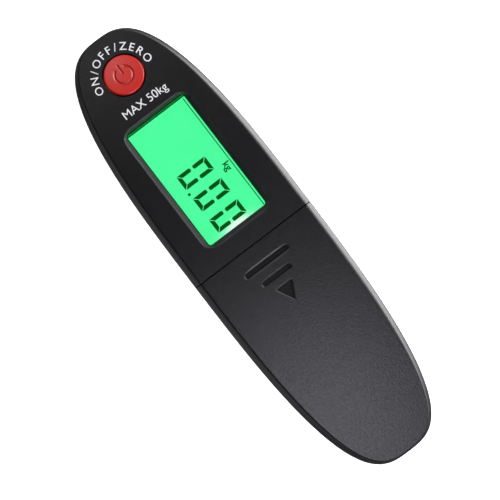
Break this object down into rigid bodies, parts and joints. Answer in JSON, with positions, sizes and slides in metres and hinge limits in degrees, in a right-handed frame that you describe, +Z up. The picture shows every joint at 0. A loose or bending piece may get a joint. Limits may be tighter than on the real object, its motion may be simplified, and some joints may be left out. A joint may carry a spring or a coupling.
{
  "type": "digital luggage scale",
  "caption": "Arched handheld luggage scale with lit display, round power button, sliding battery cover and a steel hook that folds into the underside.",
  "frame": {"origin": "on the surface the scale lies on, under the middle of the handle", "axes": "+X from the button end to the battery end, +Y across the handle, +Z up out of the display"},
  "size_m": [0.15, 0.0414, 0.03],
  "materials": {
    "black_plastic": "fine satin grain",
    "inner_plastic": "as moulded",
    "red_plastic": "satin",
    "clear_window": "clear acrylic",
    "lcd_glass": "lit green",
    "light_guide": "translucent",
    "white_plastic": "as moulded",
    "elastomer": "matt",
    "circuit_board": "solder mask",
    "epoxy": "cured drop",
    "switch_black": "as moulded",
    "steel": "bright plated",
    "nickel": "nickel plated",
    "zinc": "zinc plated",
    "gauge_foil": "polyimide foil",
    "silicone": "cured sealant",
    "cell_sleeve": "printed sleeve",
    "red_wire": "insulation",
    "black_wire": "insulation",
    "white_wire": "insulation"
  },
  "bodies": {
    "casing": {"head_cover": "black_plastic", "bottom_housing": "black_plastic", "battery_tray": "inner_plastic", "display_window": "clear_window", "lcd_panel": "lcd_glass", "backlight_panel": "light_guide", "backlight_led": "white_plastic", "lcd_holder": "white_plastic", "zebra_strip": "elastomer", "main_pcb": "circuit_board", "chip_blob": "epoxy", "crystal": "nickel", "capacitor_1": "cell_sleeve", "capacitor_2": "cell_sleeve", "tact_switch": "switch_black", "load_cell_beam": "zinc", "strain_gauge": "gauge_foil", "gauge_sealant": "silicone", "beam_screw_1": "zinc", "beam_screw_2": "zinc", "hook_yoke": "steel", "yoke_washer": "steel", "yoke_nut": "steel", "hook_pin": "zinc", "aaa_cell_1": "cell_sleeve", "aaa_cell_2": "cell_sleeve", "contact_spring_1": "nickel", "contact_spring_2": "nickel", "contact_plate_1": "nickel", "contact_plate_2": "nickel", "contact_bridge": "nickel", "battery_wire_red": "red_wire", "battery_wire_black": "black_wire", "gauge_wire_1": "red_wire", "gauge_wire_2": "white_wire", "gauge_wire_3": "black_wire", "housing_screw_1": "zinc", "housing_screw_2": "zinc", "housing_screw_3": "zinc", "housing_screw_4": "zinc", "pcb_screw_1": "zinc", "tray_screw_1": "zinc", "pcb_screw_2": "zinc", "tray_screw_2": "zinc"},
    "button": {"power_button": "red_plastic", "tact_plunger": "white_plastic"},
    "cover": {"battery_cover": "black_plastic"},
    "hook": {"load_hook": "steel"}
  },
  "joints": [
    {"name": "power_button_press", "type": "slide", "parent": "casing", "child": "button", "axis": [0.0927, 0, -0.9957], "range_m": [0, 0.0005], "stiffness_N_per_m": 800, "springref_m": -0.001},
    {"name": "battery_cover_slide", "type": "slide", "parent": "casing", "child": "cover", "axis": [1, 0, 0], "range_m": [0, 0.078]},
    {"name": "hook_fold", "type": "hinge", "parent": "casing", "child": "hook", "pos_m": [0, 0, 0.0037], "axis": [0, -1, 0], "range_deg": [0, 95]}
  ]
}
